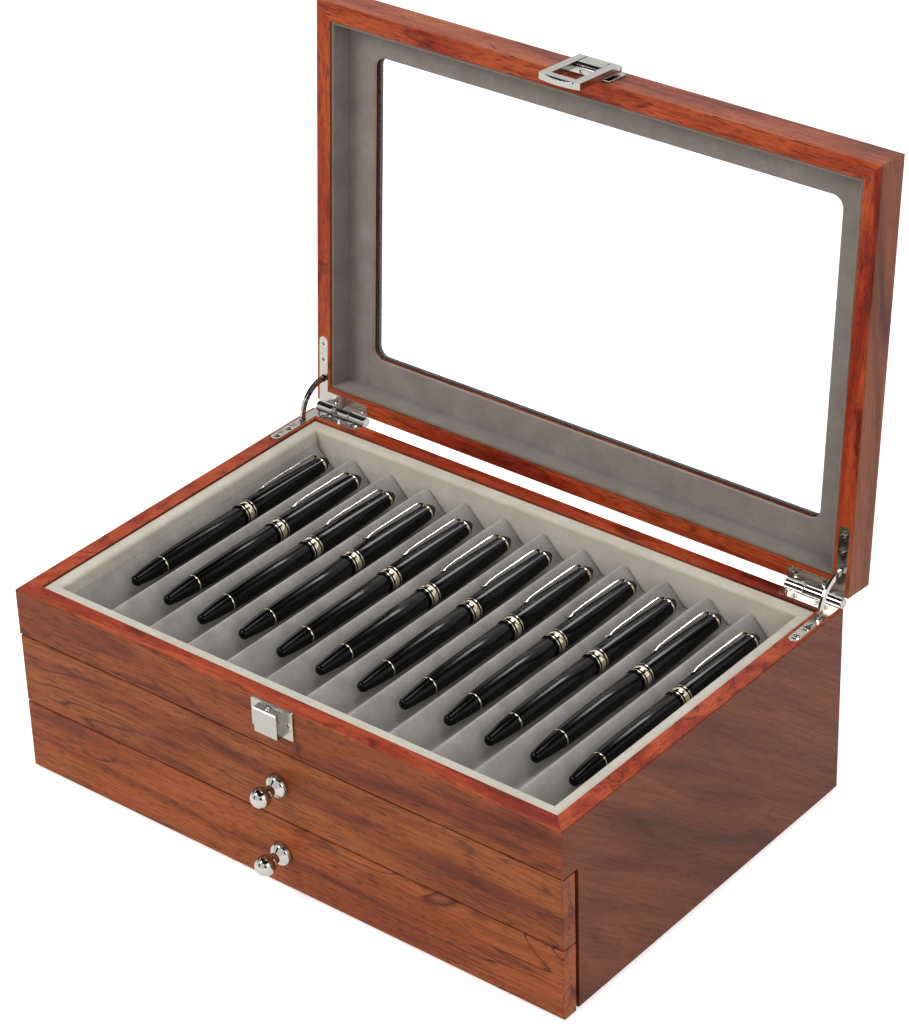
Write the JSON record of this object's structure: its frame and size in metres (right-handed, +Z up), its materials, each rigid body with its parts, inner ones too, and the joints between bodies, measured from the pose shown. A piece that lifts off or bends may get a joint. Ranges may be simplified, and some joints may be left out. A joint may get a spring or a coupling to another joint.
{
  "type": "wooden pen collector chest",
  "caption": "Veneered wooden chest with a glazed hinged lid over a grooved suede tray of capped pens, shallow drawers with chrome knobs, quadrant hinges and a hasp catch.",
  "frame": {"origin": "centre of the chest's underside, on the surface it stands on", "axes": "+Z up, -Y towards the drawer fronts, +X to the right as seen from the front"},
  "size_m": [0.33, 0.2757, 0.3344],
  "materials": {
    "veneer": "glossy red-brown burl veneer",
    "panel": "satin plain board",
    "felt": "dark felt",
    "suede": "grey-beige suede cloth",
    "chrome": "polished plating",
    "glass": "clear",
    "pen_resin": "polished black resin",
    "pen_trim": "polished pale plating"
  },
  "bodies": {
    "case": {"case_side_left": "veneer", "case_side_right": "veneer", "case_front_rail": "veneer", "case_back": "veneer", "compartment_floor": "panel", "drawer_partition": "panel", "case_bottom": "panel", "base_felt": "felt", "lining_front": "suede", "lining_back": "suede", "lining_left": "suede", "lining_right": "suede", "tray_base": "suede", "tray_ridges": "suede", "catch_plate": "chrome", "catch_screws": "chrome", "hinge_case_leaf_left": "chrome", "hinge_case_leaf_right": "chrome", "hinge_pins": "chrome", "hinge_case_screws": "chrome", "pen_barrels": "pen_resin", "pen_caps": "pen_resin", "pen_clips": "pen_trim"},
    "lid": {"lid_rail_front": "veneer", "lid_rail_back": "veneer", "lid_rail_left": "veneer", "lid_rail_right": "veneer", "glass_pane": "glass", "window_board": "suede", "lid_wall_linings": "suede", "hasp_plate": "chrome", "hasp_screws": "chrome", "hasp_pin": "chrome", "hinge_lid_leaf_left": "chrome", "hinge_lid_leaf_right": "chrome", "hinge_lid_screws": "chrome"},
    "hasp": {"hasp_frame": "chrome"},
    "stay_left": {"stay_left": "chrome"},
    "stay_right": {"stay_right": "chrome"},
    "upper_drawer": {"upper_drawer_front": "veneer", "upper_drawer_side_left": "panel", "upper_drawer_side_right": "panel", "upper_drawer_back": "panel", "upper_drawer_bottom": "panel", "upper_drawer_linings": "suede", "upper_drawer_ridges": "suede", "upper_drawer_knob": "chrome"},
    "lower_drawer": {"lower_drawer_front": "veneer", "lower_drawer_side_left": "panel", "lower_drawer_side_right": "panel", "lower_drawer_back": "panel", "lower_drawer_bottom": "panel", "lower_drawer_linings": "suede", "lower_drawer_ridges": "suede", "lower_drawer_knob": "chrome"},
    "catch_ball": {"catch_ball": "chrome"}
  },
  "joints": [
    {"name": "lid_hinge", "type": "hinge", "parent": "case", "child": "lid", "pos_m": [0, 0.113, 0.1052], "axis": [1, 0, 0], "range_deg": [0, 94]},
    {"name": "stay_left_turn", "type": "hinge", "parent": "case", "child": "stay_left", "pos_m": [-0.1605, 0.113, 0.1052], "axis": [1, 0, 0], "range_deg": [0, 47]},
    {"name": "stay_right_turn", "type": "hinge", "parent": "case", "child": "stay_right", "pos_m": [0.1605, 0.113, 0.1052], "axis": [1, 0, 0], "range_deg": [0, 47]},
    {"name": "hasp_swing", "type": "hinge", "parent": "lid", "child": "hasp", "pos_m": [0, 0.14156, 0.33016], "axis": [-1, 0, 0], "range_deg": [0, 100]},
    {"name": "upper_drawer_slide", "type": "slide", "parent": "case", "child": "upper_drawer", "axis": [0, -1, 0], "range_m": [0, 0.15]},
    {"name": "lower_drawer_slide", "type": "slide", "parent": "case", "child": "lower_drawer", "axis": [0, -1, 0], "range_m": [0, 0.15]},
    {"name": "catch_ball_press", "type": "slide", "parent": "case", "child": "catch_ball", "axis": [0, 0, -1], "range_m": [0, 0.0008], "stiffness_N_per_m": 200, "springref_m": -0.0005}
  ],
  "couplings": [
    {"joint": "stay_left_turn", "follows": "lid_hinge", "ratio": 0.5},
    {"joint": "stay_right_turn", "follows": "lid_hinge", "ratio": 0.5}
  ]
}
